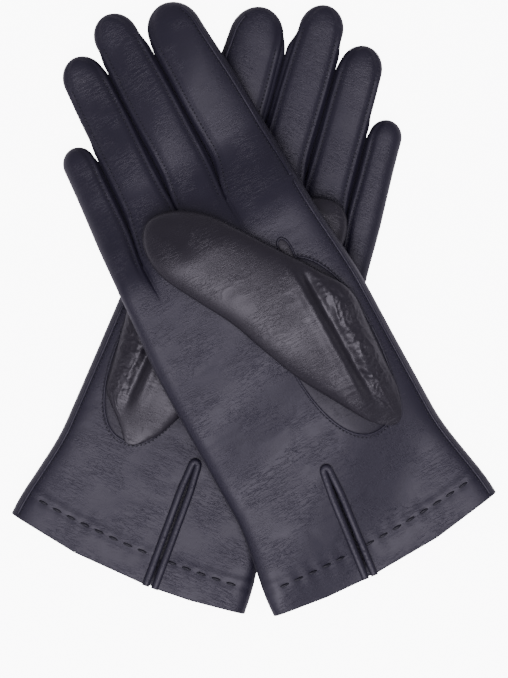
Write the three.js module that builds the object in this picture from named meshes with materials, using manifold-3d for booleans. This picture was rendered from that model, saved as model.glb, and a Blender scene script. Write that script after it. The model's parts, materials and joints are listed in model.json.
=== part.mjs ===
// A pair of leather dress gloves laid down crossed, palms up: the right glove lies over the left one.
// Units are millimetres, +Z is up, and the surface that the gloves lie on is z = 0.
//
// Each glove is drawn in a flat pattern frame: u runs across the hand towards the thumb side, v runs from
// the cuff edge to the fingertips, and w is the height above the glove's own underside. pointOf() lays the
// pattern down: it turns it to the glove's heading and lifts it over whatever the glove lies on.
import * as THREE from "three";
import { mergeVertices } from "three/addons/utils/BufferGeometryUtils.js";
import Module from "manifold-3d";

const wasm = await Module();
wasm.setup();

// ---- Driving dimensions ----
const PALM_WIDTH = 92; // across the knuckles, glove lying flat
const CUFF_WIDTH = 103; // across the cuff edge
const CUFF_FLARE = 45; // length over which the wrist widens into the cuff
const ROOT_TAPER = 50; // length over which the palm narrows towards the finger roots
const PALM_LENGTH = 152; // cuff edge to the finger roots
const PALM_THICKNESS = 10; // empty palm, leather and lining together
const CUFF_THICKNESS = 9.6;
const SIDE_ROUND = 9; // half-width of the rounded side folds
const LEATHER = 0.9; // nappa leather
const LINING = 0.5; // silk lining
const GAP = 0.3; // between pieces that touch
const HEM_DEPTH = 10; // cuff edge to the running stitch
const HEM_TURN_IN = 12; // leather turned in at the cuff
const HEM_SET_BACK = 0.6; // turned leather starts this far inside the cuff edge
const STITCH_WIDTH = 0.9;
const STITCH_HEIGHT = 0.5;
const VENT_WIDTH = 2.2;
const BINDING_WIDTH = 3.2; // leather strip sewn along each side of the slit
const BINDING_HEIGHT = 1;
const SEAM_INSET = 3.2; // side seam in from the edge
const FINGER_THICKNESS = 9.5;
const FINGER_GAP = 2.1; // between neighbouring fingers at their roots
const KNUCKLE_GAP = 0.7; // clearance across a finger's flex line
const KNUCKLE_NOTCH = Math.tan(THREE.MathUtils.degToRad(47)); // room for the leather that folds inwards
const FOURCHETTE_SHARE = 0.62; // part of the finger's thickness that the side strip fills
const THUMB_THICKNESS = 8.4;
const THUMB_CLEARANCE = 1.7; // between the folded thumb and the palm under it
const THUMB_FOLD_INSET = 13; // fold line of the thumb, in from the palm's thumb side
const THUMB_HOLE = { past: 3.8, v: 84, halfWidth: 2.4, halfLength: 20 }; // beside the fold, on the palm
const THUMB_SEAM = 2.8; // leather of the thumb's root around its hole
const THUMB_ROOT_HEIGHT = 1;

// Fingers from the little one to the index, with their widths, how far past the palm's end each root lies,
// and the sides that have a fourchette.
const FINGERS = {
  little: { past: -5, rootWidth: 14.4, tipWidth: 13.6, sides: [1] },
  ring: { past: -1, rootWidth: 19.4, tipWidth: 17.6, sides: [-1, 1] },
  middle: { past: 6, rootWidth: 20, tipWidth: 18.4, sides: [-1, 1] },
  index: { past: 3, rootWidth: 26, tipWidth: 22.4, sides: [-1] },
};
const THUMB = { length: 106.7, lean: -28.8, rootWidth: 43, tipWidth: 27, heel: 20, behindFold: 5, below: 16 };

// How each glove lies: its cuff centre, its heading clockwise from +Y, where its palm slit runs out at the cuff
// edge with the slit's length and its lean towards the thumb side, and for each finger its length as it
// lies, its lean towards the thumb side, and how far from its root it can flex without reaching the glove or
// thumb that lies over it.
const GLOVES = {
  left: {
    side: -1,
    heading: 23.4,
    cuff: [-51.7, -102.5],
    vent: { foot: [-11.8, 0], length: 49, lean: 3.1 },
    fingers: {
      little: { length: 62.8, lean: 9, flexAt: 22 },
      ring: { length: 82.8, lean: 7.8, flexAt: 34 },
      middle: { length: 84.6, lean: 7.1, flexAt: 40 },
      index: { length: 76.5, lean: 6.4, flexAt: 58 },
    },
  },
  right: {
    side: 1,
    heading: -29,
    cuff: [54.1, -98.4],
    vent: { foot: [-9.5, 0], length: 43, lean: 6.5 },
    fingers: {
      little: { length: 60.2, lean: 4.2, flexAt: 17 },
      ring: { length: 88.1, lean: 2.5, flexAt: 26 },
      middle: { length: 90, lean: 0.9, flexAt: 24 },
      index: { length: 85.5, lean: -1.4, flexAt: 22 },
    },
  },
};

// ---- Sizes that follow from those ----
const fingerList = Object.values(FINGERS);
const ROOT_WIDTH = fingerList.reduce((sum, f) => sum + f.rootWidth, FINGER_GAP * (fingerList.length - 1));
let edgeU = -ROOT_WIDTH / 2;
for (const finger of fingerList) {
  finger.root = [edgeU + finger.rootWidth / 2, PALM_LENGTH + finger.past];
  edgeU += finger.rootWidth + FINGER_GAP;
}
const THUMB_AXIS_U = PALM_WIDTH / 2 - THUMB_FOLD_INSET;
THUMB_HOLE.u = THUMB_AXIS_U + THUMB_HOLE.past;
THUMB.root = [THUMB_AXIS_U - THUMB.behindFold, THUMB_HOLE.v - THUMB.below];
const STACK_THICKNESS = Math.max(PALM_THICKNESS, FINGER_THICKNESS); // one glove without its thumb

// ---- Small helpers ----
const smooth = (x) => THREE.MathUtils.smoothstep(x, 0, 1);
const lerp = THREE.MathUtils.lerp;
const WELD = 1e-3;

// Unit vector in the pattern that leans from v towards u, in degrees.
function directionOf(lean) {
  const a = THREE.MathUtils.degToRad(lean);
  return [Math.sin(a), Math.cos(a)];
}

// Direction of u and of v on the table, for a glove.
function axesOf(glove) {
  const h = THREE.MathUtils.degToRad(glove.heading);
  return {
    u: [glove.side * Math.cos(h), -glove.side * Math.sin(h)],
    v: [Math.sin(h), Math.cos(h)],
  };
}

function toTable(glove, u, v) {
  const a = axesOf(glove);
  return [
    glove.cuff[0] + u * a.u[0] + v * a.v[0],
    glove.cuff[1] + u * a.u[1] + v * a.v[1],
  ];
}

function toPattern(glove, x, y) {
  const a = axesOf(glove);
  const dx = x - glove.cuff[0];
  const dy = y - glove.cuff[1];
  return [dx * a.u[0] + dy * a.u[1], dx * a.v[0] + dy * a.v[1]];
}

// The left glove lies on the table. The right one is draped over it: it stands on the left palm and on the
// left thumb, and comes down to the table past their edges.
const DRAPE_HALF_WIDTH = Math.max(CUFF_WIDTH, PALM_WIDTH) / 2 + 2 * GAP;
const DRAPE_FALL = 46; // distance over which the upper glove comes down to the table
const THUMB_FALL = 40;
const REST_ON_PALM = STACK_THICKNESS + 2 * GAP;
const REST_ON_THUMB = THUMB_THICKNESS + THUMB_CLEARANCE;
const thumbDir = directionOf(THUMB.lean);
const alongThumb = (t) => [THUMB.root[0] + thumbDir[0] * t, THUMB.root[1] + thumbDir[1] * t];
const THUMB_BED = {
  from: alongThumb(15),
  fromRadius: THUMB.rootWidth / 2 + 5.5,
  to: alongThumb(THUMB.length - 11.7),
  toRadius: THUMB.tipWidth / 2 + 2.5,
};

function liftOf(glove, x, y) {
  if (glove === GLOVES.left) return 0;
  const [u, v] = toPattern(GLOVES.left, x, y);
  const overPalm = 1 - smooth((Math.abs(u) - DRAPE_HALF_WIDTH) / DRAPE_FALL);
  const along = [THUMB_BED.to[0] - THUMB_BED.from[0], THUMB_BED.to[1] - THUMB_BED.from[1]];
  const from = [u - THUMB_BED.from[0], v - THUMB_BED.from[1]];
  const length2 = along[0] ** 2 + along[1] ** 2;
  const t = THREE.MathUtils.clamp((from[0] * along[0] + from[1] * along[1]) / length2, 0, 1);
  const radius = lerp(THUMB_BED.fromRadius, THUMB_BED.toRadius, t);
  const away = Math.hypot(from[0] - t * along[0], from[1] - t * along[1]) - radius;
  return REST_ON_PALM * overPalm + REST_ON_THUMB * (1 - smooth(away / THUMB_FALL));
}

function pointOf(glove, u, v, w) {
  const [x, y] = toTable(glove, u, v);
  return new THREE.Vector3(x, y, w + liftOf(glove, x, y));
}

// A closed skin over rings of points. Each ring runs over its upper side and back along its lower side, so
// that point i and point n - 1 - i face each other, and the ends are closed by strips between them.
function loft(rings) {
  const n = rings[0].length;
  const positions = rings.flat().flatMap((p) => [p.x, p.y, p.z]);
  const index = [];
  for (let i = 0; i < rings.length - 1; i++) {
    for (let j = 0; j < n; j++) {
      const a = i * n + j;
      const b = i * n + ((j + 1) % n);
      index.push(a, b, b + n, a, b + n, a + n);
    }
  }
  const last = (rings.length - 1) * n;
  for (let i = 0; i < n / 2 - 1; i++) {
    const j = n - 1 - i;
    index.push(i, j, j - 1, i, j - 1, i + 1);
    index.push(last + i, last + i + 1, last + j - 1, last + i, last + j - 1, last + j);
  }
  const geometry = new THREE.BufferGeometry();
  geometry.setAttribute("position", new THREE.Float32BufferAttribute(positions, 3));
  geometry.setIndex(index);
  return geometry;
}

// A geometry as a solid that can be cut and joined, faces turned outwards.
function solidOf(geometry) {
  const merged = mergeVertices(geometry, WELD);
  const triVerts = new Uint32Array(merged.index.array);
  const vertProperties = new Float32Array(merged.attributes.position.array);
  const make = () => new wasm.Manifold(new wasm.Mesh({ numProp: 3, vertProperties, triVerts }));
  const made = make();
  if (made.volume() > 0) return made;
  for (let i = 0; i < triVerts.length; i += 3) {
    [triVerts[i + 1], triVerts[i + 2]] = [triVerts[i + 2], triVerts[i + 1]];
  }
  return make();
}

function geometryOf(solid) {
  const mesh = solid.getMesh();
  const positions = new Float32Array(mesh.numVert * 3);
  for (let i = 0; i < mesh.numVert; i++) {
    positions.set(mesh.vertProperties.subarray(i * mesh.numProp, i * mesh.numProp + 3), i * 3);
  }
  const geometry = new THREE.BufferGeometry();
  geometry.setAttribute("position", new THREE.BufferAttribute(positions, 3));
  geometry.setIndex(new THREE.BufferAttribute(mesh.triVerts, 1));
  geometry.computeVertexNormals();
  return geometry;
}

// A cut solid without the slivers left where two skins meet. A piece larger than a sliver is kept, so a cut
// that really divides a body still shows as two bodies.
const SLIVER = 0.5; // cubic millimetres
function withoutSlivers(solid) {
  return wasm.Manifold.union(solid.decompose().filter((piece) => piece.volume() > SLIVER));
}

// A strip laid on the pattern: each station is its left and right edge point, and the strip fills the
// heights between two functions of u and v.
function ribbon(glove, stations, low, high) {
  const rings = stations.map(([left, right]) => [
    pointOf(glove, ...left, low(...left)),
    pointOf(glove, ...right, low(...right)),
    pointOf(glove, ...right, high(...right)),
    pointOf(glove, ...left, high(...left)),
  ]);
  return solidOf(loft(rings));
}

// ---- Palm: a flat tube with rounded sides ----
function halfWidthAt(v) {
  const wrist = lerp(CUFF_WIDTH, PALM_WIDTH, smooth(v / CUFF_FLARE));
  return lerp(wrist, ROOT_WIDTH, smooth((v - PALM_LENGTH + ROOT_TAPER) / ROOT_TAPER)) / 2;
}
const thicknessAt = (v) => lerp(CUFF_THICKNESS, PALM_THICKNESS, smooth(v / CUFF_FLARE));

const FLAT_STEPS = 4;
const SIDE_ANGLES = [20, 55, 90];

function palmRing(glove, v, inset) {
  const flatHalf = halfWidthAt(v) - SIDE_ROUND;
  const mid = thicknessAt(v) / 2;
  const side = SIDE_ROUND - inset;
  const rise = mid - inset;
  const upper = SIDE_ANGLES.map((angle) => {
    const a = THREE.MathUtils.degToRad(angle);
    return [flatHalf + side * Math.cos(a), rise * Math.sin(a)];
  });
  for (let i = 1; i < FLAT_STEPS; i++) upper.push([lerp(flatHalf, -flatHalf, i / FLAT_STEPS), rise]);
  for (const [u, h] of upper.slice(0, SIDE_ANGLES.length).reverse()) upper.push([-u, h]);
  return [
    ...upper.map(([u, h]) => pointOf(glove, u, v, mid + h)),
    ...upper.reverse().map(([u, h]) => pointOf(glove, u, v, mid - h)),
  ];
}

// Stations between two positions along a glove or a digit, about one step apart.
function spread(from, to, step) {
  const n = Math.max(1, Math.round((to - from) / step));
  return Array.from({ length: n + 1 }, (_, i) => lerp(from, to, i / n));
}

function palmTube(glove, stations, inset) {
  return solidOf(loft(stations.map((v) => palmRing(glove, v, inset))));
}

// A length of palm tube with its wall: the hollow follows the same stations and runs out at both ends.
function palmWall(glove, stations, inset, wall) {
  const hollow = [stations[0] - 1, ...stations.slice(1, -1), stations.at(-1) + 1];
  return palmTube(glove, stations, inset).subtract(palmTube(glove, hollow, inset + wall));
}

// ---- Fingers and thumb: tapered tubes with round ends ----
const RING_POINTS = 10;
const SQUARENESS = 0.72; // below 1 makes the section boxier than an ellipse
const SEAT_SHARE = 0.88; // a finger's thickness where it runs into the palm, as a share of its full one
const SEAT_LENGTH = 10;

function digitOf(spec, length, lean, middle) {
  return {
    ...spec,
    length,
    middle,
    dir: directionOf(lean),
    cap: spec.tipWidth * 0.55, // length of the round end
  };
}

const halfWidthOf = (digit, t) => lerp(digit.rootWidth, digit.tipWidth, smooth(t / digit.length)) / 2;

// How much of its section a digit keeps at t: 1 along its length, falling to nothing at the tip, and at
// the heel of the thumb.
function roundEnd(digit, t) {
  const pastTip = Math.max(0, t - (digit.length - digit.cap)) / digit.cap;
  const pastRoot = digit.heel ? Math.max(0, -t) / digit.heel : 0;
  return Math.sqrt(Math.max(0.02, 1 - Math.max(pastTip, pastRoot) ** 2));
}

function digitPoint(glove, digit, t, n, w) {
  const [du, dv] = digit.dir;
  return pointOf(glove, digit.root[0] + du * t + dv * n, digit.root[1] + dv * t - du * n, w);
}

// shift(w) moves the ring's points along the digit by their height, for the slanted ends at a flex line.
function digitRing(glove, digit, t, halfThickness, inset, shift = () => 0) {
  const keep = roundEnd(digit, t);
  const past = digit.root[1] + digit.dir[1] * t - PALM_LENGTH;
  const seat = digit.seated ? lerp(SEAT_SHARE, 1, smooth(past / SEAT_LENGTH)) : 1;
  const a = Math.max(0.4, halfWidthOf(digit, t) * keep - inset);
  const b = Math.max(0.3, halfThickness * seat * Math.sqrt(keep) - inset);
  return Array.from({ length: RING_POINTS }, (_, i) => {
    const angle = ((i + 0.5) / RING_POINTS) * 2 * Math.PI;
    const c = Math.cos(angle);
    const s = Math.sin(angle);
    const n = a * Math.sign(c) * Math.abs(c) ** SQUARENESS;
    const h = b * Math.sign(s) * Math.abs(s) ** SQUARENESS;
    return digitPoint(glove, digit, t + shift(h), n, digit.middle + h);
  });
}

function stationsOf(digit, from, to) {
  const straight = Math.min(to, digit.length - digit.cap);
  const list = spread(from, straight, 16);
  if (to > straight) {
    for (const share of [0.5, 0.83, 1]) list.push(straight + share * (to - straight));
  }
  return list;
}

function digitTube(glove, digit, list, halfThickness, inset, startShift, endShift) {
  const rings = list.map((t, i) => {
    const shift = i === 0 ? startShift : i === list.length - 1 ? endShift : undefined;
    return digitRing(glove, digit, t, halfThickness, inset, shift);
  });
  return solidOf(loft(rings));
}

// The same tube inside its leather: open at the start, closed by the wall at the tip.
function digitHollow(glove, digit, list, halfThickness, runOut) {
  const inner = [list[0] - runOut, ...list.slice(1, -1), list.at(-1) - LEATHER];
  return digitTube(glove, digit, inner, halfThickness, LEATHER);
}

// A box-shaped strip along one side of a digit, which cuts out the side wall where a fourchette is sewn in.
function sideStrip(glove, digit, side, from, to, halfHeight) {
  const rings = stationsOf(digit, from, to).map((t) => {
    const outer = halfWidthOf(digit, t);
    const ring = [];
    for (const [n, h] of [[outer - 3, -1], [outer + 2, -1], [outer + 2, 1], [outer - 3, 1]]) {
      ring.push(digitPoint(glove, digit, t, side * n, digit.middle + h * halfHeight));
    }
    return ring;
  });
  return solidOf(loft(rings));
}

// ---- Materials ----
const leather = new THREE.MeshStandardMaterial({ color: 0x35333e, roughness: 0.48, metalness: 0 });
const thumbLeather = new THREE.MeshStandardMaterial({ color: 0x2c2a31, roughness: 0.38, metalness: 0 });
const silk = new THREE.MeshStandardMaterial({ color: 0x23233a, roughness: 0.35, metalness: 0 });
const thread = new THREE.MeshStandardMaterial({ color: 0x171629, roughness: 0.7, metalness: 0 });

const pair = new THREE.Group();
pair.userData.hinges = [];

// Each piece is welded at a thousandth of a millimetre, and any sliver that comes loose is left out.
function add(name, solid, material) {
  const welded = solidOf(geometryOf(withoutSlivers(solid)).deleteAttribute("normal"));
  const mesh = new THREE.Mesh(geometryOf(withoutSlivers(welded)), material);
  mesh.name = name;
  pair.add(mesh);
}

// ---- One glove ----
function buildGlove(name, glove) {
  const fingers = {};
  for (const [finger, spec] of Object.entries(FINGERS)) {
    const { length, lean } = glove.fingers[finger];
    fingers[finger] = digitOf({ ...spec, seated: true }, length, lean, FINGER_THICKNESS / 2);
  }
  const half = FINGER_THICKNESS / 2;
  const notch = (sign) => (h) => sign * (KNUCKLE_GAP / 2 + Math.max(0, h) * KNUCKLE_NOTCH);

  // The slit in the palm, as a flat outline with a given half width and overshoot at both ends.
  const slitUnit = directionOf(glove.vent.lean);
  const slitPoint = (t, n) => [
    glove.vent.foot[0] + slitUnit[0] * t + slitUnit[1] * n,
    glove.vent.foot[1] + slitUnit[1] * t - slitUnit[0] * n,
  ];
  const slitStrip = (from, to, halfWidth) => {
    const steps = 4;
    const run = Array.from({ length: steps + 1 }, (_, i) => lerp(from, to, i / steps));
    const across = (t, n) => [slitPoint(t, -n), slitPoint(t, n)];
    return [...run.map((t) => across(t, halfWidth)), across(to + halfWidth, halfWidth * 0.3)];
  };
  const column = (stations) => ribbon(
    glove,
    stations,
    (u, v) => thicknessAt(v) / 2,
    (u, v) => thicknessAt(v) + 6,
  );
  const slit = column(slitStrip(-6, glove.vent.length, VENT_WIDTH / 2));

  // Palm and back of the hand, one folded piece of leather, with the roots of the fingers.
  const palmStations = [0, HEM_TURN_IN, 28, ...spread(44, PALM_LENGTH, 18)];
  const palmInside = [-2, HEM_SET_BACK, ...palmStations.slice(1, -1), PALM_LENGTH - LEATHER];
  let outer = palmTube(glove, palmStations, 0);
  let inner = palmTube(glove, palmInside, LEATHER);
  for (const [finger, digit] of Object.entries(fingers)) {
    const flex = glove.fingers[finger].flexAt;
    const list = spread(-10, flex, 12);
    outer = outer.add(digitTube(glove, digit, list, half, 0, undefined, notch(-1)));
    inner = inner.add(digitTube(glove, digit, [-13, ...list.slice(1), flex + 8], half, LEATHER));
  }
  const ovalOf = (margin) => [-1, -0.85, -0.45, 0, 0.45, 0.85, 1].map((x) => {
    const n = (THUMB_HOLE.halfWidth + margin) * Math.sqrt(1.04 - x * x);
    const v = THUMB_HOLE.v + (THUMB_HOLE.halfLength + margin) * x;
    return [[THUMB_HOLE.u - n, v], [THUMB_HOLE.u + n, v]];
  });
  const hole = column(ovalOf(0));
  add(`${name}_palm_and_back`, outer.subtract(inner).subtract(slit).subtract(hole), leather);

  // Leather turned in at the cuff, and the silk lining that starts behind it.
  const inside = LEATHER + GAP;
  const hem = palmWall(glove, [HEM_SET_BACK, HEM_TURN_IN], inside, LEATHER);
  add(`${name}_turned_hem`, hem.subtract(slit), leather);
  const liningStations = [HEM_TURN_IN + GAP, ...palmStations.slice(2, -1)];
  const lining = palmWall(glove, liningStations, inside, LINING);
  add(`${name}_lining`, lining.subtract(slit).subtract(hole), silk);

  // Binding round the slit: one strip of leather, up one side and down the other.
  const overPalm = (stations, height) => {
    const under = [-1, ...palmStations.slice(1, -1), PALM_LENGTH + 1];
    const layer = palmTube(glove, palmStations, -GAP - height).subtract(palmTube(glove, under, -GAP));
    return layer.intersect(column(stations));
  };
  const legInner = VENT_WIDTH / 2 + GAP;
  const legOuter = legInner + BINDING_WIDTH;
  const strip = overPalm(slitStrip(0.5, glove.vent.length, legOuter), BINDING_HEIGHT);
  add(`${name}_slit_binding`, strip.subtract(column(slitStrip(-3, glove.vent.length, legInner))), leather);

  // Running stitch along the hem, on both sides of the slit, and the seam along the thumb side.
  const hemEdge = halfWidthAt(HEM_DEPTH) - SIDE_ROUND;
  const slitAtHem = slitPoint(HEM_DEPTH, 0)[0];
  const runs = {
    little_side: [-hemEdge, slitAtHem - legOuter - 1],
    thumb_side: [slitAtHem + legOuter + 1, hemEdge],
  };
  for (const [run, [from, to]] of Object.entries(runs)) {
    const stations = Array.from({ length: 5 }, (_, i) => {
      const u = lerp(from, to, i / 4);
      return [[u, HEM_DEPTH], [u, HEM_DEPTH + STITCH_WIDTH]];
    });
    add(`${name}_hem_stitch_${run}`, overPalm(stations, STITCH_HEIGHT), thread);
  }
  const seam = Array.from({ length: 13 }, (_, i) => {
    const v = lerp(1, PALM_LENGTH - 16, i / 12);
    const u = halfWidthAt(v) - SEAM_INSET;
    return [[u, v], [u + STITCH_WIDTH, v]];
  });
  add(`${name}_side_seam`, overPalm(seam, STITCH_HEIGHT), thread);

  // Fingers past their flex line, each with the side strips (fourchettes) between its two faces.
  for (const [finger, digit] of Object.entries(fingers)) {
    const flex = glove.fingers[finger].flexAt;
    const list = stationsOf(digit, flex, digit.length);
    const skin = digitTube(glove, digit, list, half, 0, notch(1));
    const shell = skin.subtract(digitHollow(glove, digit, list, half, 4));
    const stripEnd = digit.length - digit.cap * 0.7;
    const stripHalf = half * FOURCHETTE_SHARE;
    let faces = shell;
    for (const side of digit.sides) {
      faces = faces.subtract(sideStrip(glove, digit, side, flex - 9, stripEnd, stripHalf));
      const place = sideStrip(glove, digit, side, flex - 9, stripEnd - GAP, stripHalf - GAP);
      const where = side > 0 ? "thumb_side" : "little_side";
      add(`${name}_${finger}_fourchette_${where}`, shell.intersect(place), leather);
    }
    add(`${name}_${finger}_finger`, faces, leather);
    const at = digitPoint(glove, digit, flex, 0, digit.middle);
    const ahead = digitPoint(glove, digit, flex + 1, 0, digit.middle);
    const flat = ahead.clone().sub(at).setZ(0).normalize();
    pair.userData.hinges.push({
      name: `${name}_${finger}_flex`,
      at,
      axis: flat.clone().cross(new THREE.Vector3(0, 0, 1)),
    });
  }

  // The thumb's root, sewn round the hole that the thumb leaves the palm by.
  const rootHeight = THUMB_ROOT_HEIGHT + STACK_THICKNESS - PALM_THICKNESS;
  const root = overPalm(ovalOf(THUMB_SEAM), rootHeight).subtract(column(ovalOf(GAP)));
  add(`${name}_thumb_root`, root, thumbLeather);

  // Thumb: a closed tube of leather that folds over the palm about a line beside its hole.
  const thumbMiddle = STACK_THICKNESS + THUMB_CLEARANCE + THUMB_THICKNESS / 2;
  const thumb = digitOf(THUMB, THUMB.length, THUMB.lean, thumbMiddle);
  const thumbHalf = THUMB_THICKNESS / 2;
  const heel = [-1, -0.83, -0.5].map((share) => share * thumb.heel);
  const thumbList = [...heel, ...stationsOf(thumb, 0, thumb.length)];
  const thumbSkin = digitTube(glove, thumb, thumbList, thumbHalf, 0);
  const thumbHollow = digitHollow(glove, thumb, thumbList, thumbHalf, -LEATHER);
  const cutFar = 90;
  const beyondFold = ribbon(
    glove,
    [-cutFar, 3 * cutFar].map((v) => [[THUMB_AXIS_U, v], [THUMB_AXIS_U + cutFar, v]]),
    () => -cutFar,
    () => cutFar,
  );
  add(`${name}_thumb`, thumbSkin.subtract(thumbHollow).subtract(beyondFold), thumbLeather);
  const low = pointOf(glove, THUMB_AXIS_U, THUMB_HOLE.v - THUMB_HOLE.halfLength, thumbMiddle);
  const high = pointOf(glove, THUMB_AXIS_U, THUMB_HOLE.v + THUMB_HOLE.halfLength, thumbMiddle);
  const up = high.clone().sub(low).normalize();
  pair.userData.hinges.push({
    name: `${name}_thumb_swing`,
    at: low.clone().add(high).multiplyScalar(0.5),
    axis: up.multiplyScalar(glove.side),
  });
}

for (const [name, glove] of Object.entries(GLOVES)) buildGlove(name, glove);

// The origin is the middle of the pair, on the table.
const bounds = new THREE.Box3().setFromObject(pair);
const middle = bounds.getCenter(new THREE.Vector3());
pair.position.set(-middle.x, -middle.y, -bounds.min.z);

export default pair;
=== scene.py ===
"""A pair of navy nappa leather gloves, laid crossed with the palms up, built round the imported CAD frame."""

import json

import bpy
import numpy as np
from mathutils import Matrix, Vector
from mathutils.bvhtree import BVHTree


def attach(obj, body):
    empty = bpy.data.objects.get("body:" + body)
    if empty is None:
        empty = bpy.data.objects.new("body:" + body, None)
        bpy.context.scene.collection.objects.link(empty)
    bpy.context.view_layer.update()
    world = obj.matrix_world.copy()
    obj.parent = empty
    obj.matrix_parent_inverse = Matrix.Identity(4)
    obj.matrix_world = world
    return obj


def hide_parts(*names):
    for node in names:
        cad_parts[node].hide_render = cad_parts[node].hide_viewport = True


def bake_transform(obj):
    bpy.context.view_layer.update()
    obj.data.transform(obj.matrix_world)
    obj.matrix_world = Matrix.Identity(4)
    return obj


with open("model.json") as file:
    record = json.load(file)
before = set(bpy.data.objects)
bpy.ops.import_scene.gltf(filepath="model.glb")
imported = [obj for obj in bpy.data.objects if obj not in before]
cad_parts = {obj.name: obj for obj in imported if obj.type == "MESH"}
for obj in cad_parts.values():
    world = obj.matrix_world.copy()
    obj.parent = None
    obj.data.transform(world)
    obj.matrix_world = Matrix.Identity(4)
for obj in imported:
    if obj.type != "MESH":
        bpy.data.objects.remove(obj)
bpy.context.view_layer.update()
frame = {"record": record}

# ---- How the pair lies ----
# Each glove is drawn flat in its own pattern, in millimetres: u runs across the hand to the thumb side, v from
# the cuff edge to the fingertips, and w is the height above the glove's underside. The left glove lies on the
# table, and the right one is draped over its palm and its folded thumb.
MM = 0.001
PALM_WIDTH, CUFF_WIDTH, ROOT_WIDTH = 92.0, 103.0, 86.1
CUFF_HALF = CUFF_WIDTH / 2
CUFF_FLARE, ROOT_TAPER, PALM_LENGTH = 45.0, 50.0, 152.0
HALF_THICK = 5.0
REST_ON_PALM, REST_ON_THUMB = 10.6, 10.1
DRAPE_HALF_WIDTH, DRAPE_FALL, THUMB_FALL = 52.1, 46.0, 40.0
# The left thumb lies along this line of its own palm, and holds the upper glove up this far to either side.
THUMB_BED_LOW, THUMB_BED_HIGH = np.array([20.8, 81.1]), np.array([-17.8, 151.2])
THUMB_BED_HALVES = 27.0, 16.0
FINGERS = {
    "little": dict(root=(-35.85, 147.0), widths=(14.4, 13.6), column=0),
    "ring": dict(root=(-16.85, 151.0), widths=(19.4, 17.6), column=1),
    "middle": dict(root=(4.95, 158.0), widths=(20.0, 18.4), column=2),
    "index": dict(root=(30.05, 155.0), widths=(26.0, 22.4), column=3),
}
GLOVES = {
    "left": dict(
        side=-1,
        heading=23.4,
        cuff=(-51.7, -102.5),
        fingers=dict(little=(62.8, 9), ring=(82.8, 7.8), middle=(84.6, 7.1), index=(76.5, 6.4)),
        flex=dict(index=58, middle=40, ring=34, little=22),
        slit=((-11.8, 0.0), (-9.15, 48.9)),
        thumb=dict(heel=(18.8, 47.5), lean=-19.0, bulge=9.6),
        seed=11,
    ),
    "right": dict(
        side=1,
        heading=-29.0,
        cuff=(54.1, -98.4),
        fingers=dict(little=(60.2, 4.2), ring=(88.1, 2.5), middle=(90, 0.9), index=(85.5, -1.4)),
        flex=dict(index=22, middle=24, ring=26, little=17),
        slit=((-9.5, 0.0), (-4.63, 42.7)),
        thumb=dict(heel=(29.6, 47.0), lean=-23.3, bulge=0.0),
        seed=4,
    ),
}


def smooth(x):
    """Rises from 0 to 1 as 3x^2 - 2x^3, flat before and after."""
    x = np.clip(x, 0.0, 1.0)
    return x * x * (3 - 2 * x)


def mix(a, b, t):
    """a at t = 0, b at t = 1."""
    return a + (b - a) * t


def axes_of(glove):
    """The directions of u and v on the table."""
    h = np.radians(glove["heading"])
    s = glove["side"]
    return np.array([s * np.cos(h), -s * np.sin(h)]), np.array([np.sin(h), np.cos(h)])


def on_table(glove, u, v):
    """Pattern point to table point: cuff centre plus u and v along their directions."""
    along_u, along_v = axes_of(glove)
    x = glove["cuff"][0] + u * along_u[0] + v * along_v[0]
    y = glove["cuff"][1] + u * along_u[1] + v * along_v[1]
    return x, y


def lift_of(glove, x, y):
    """Drape: the upper glove stands on the lower palm and thumb, and falls smoothly to the table past them."""
    if glove["side"] < 0:
        return np.zeros_like(x)
    left = GLOVES["left"]
    along_u, along_v = axes_of(left)
    dx, dy = x - left["cuff"][0], y - left["cuff"][1]
    u = dx * along_u[0] + dy * along_u[1]
    v = dx * along_v[0] + dy * along_v[1]
    over_palm = 1 - smooth((np.abs(u) - DRAPE_HALF_WIDTH) / DRAPE_FALL)
    low, line = THUMB_BED_LOW, THUMB_BED_HIGH - THUMB_BED_LOW
    t = np.clip(((u - low[0]) * line[0] + (v - low[1]) * line[1]) / (line @ line), 0, 1)
    away = np.hypot(u - low[0] - t * line[0], v - low[1] - t * line[1]) - mix(*THUMB_BED_HALVES, t)
    return REST_ON_PALM * over_palm + REST_ON_THUMB * (1 - smooth(away / THUMB_FALL))


def finger_line(glove, name):
    """Root, direction and length of a finger in the pattern, from its length and its lean in degrees."""
    length, lean = glove["fingers"][name]
    lean = np.radians(lean)
    return np.array(FINGERS[name]["root"]), np.array([np.sin(lean), np.cos(lean)]), length


# The CAD puts the pair's middle at the origin: one flex hinge says how far that moved it.
index_root, index_way, _ = finger_line(GLOVES["left"], "index")
drawn_x, drawn_y = on_table(GLOVES["left"], *(index_root + index_way * GLOVES["left"]["flex"]["index"]))
JOINTS = {j["name"]: j for j in frame["record"]["behaviour"]["joints"]}
index_hinge = JOINTS["left_index_flex"]["pos_m"]
SHIFT = (index_hinge[0] / MM - drawn_x, index_hinge[1] / MM - drawn_y)


def lay(glove, u, v, w):
    """Pattern to world, in metres: laid on the table, lifted by the drape."""
    x, y = on_table(glove, u, v)
    z = w + lift_of(glove, x, y)
    return np.stack([x + SHIFT[0], y + SHIFT[1], z], -1) * MM


def noise(x, y, seed):
    """Value noise from -1 to 1: random heights on a square lattice, joined by smooth curves."""
    x0, y0 = np.floor(x).astype(np.int64), np.floor(y).astype(np.int64)
    fx, fy = smooth(x - x0), smooth(y - y0)

    def height(i, j):
        h = (i * 374761393 + j * 668265263 + seed * 1442695041) & 0xFFFFFFFF
        h = ((h ^ (h >> 13)) * 1274126177) & 0xFFFFFFFF
        return ((h ^ (h >> 16)) & 0xFFFF) / 32767.5 - 1

    low = mix(height(x0, y0), height(x0 + 1, y0), fx)
    high = mix(height(x0, y0 + 1), height(x0 + 1, y0 + 1), fx)
    return mix(low, high, fy)


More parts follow.
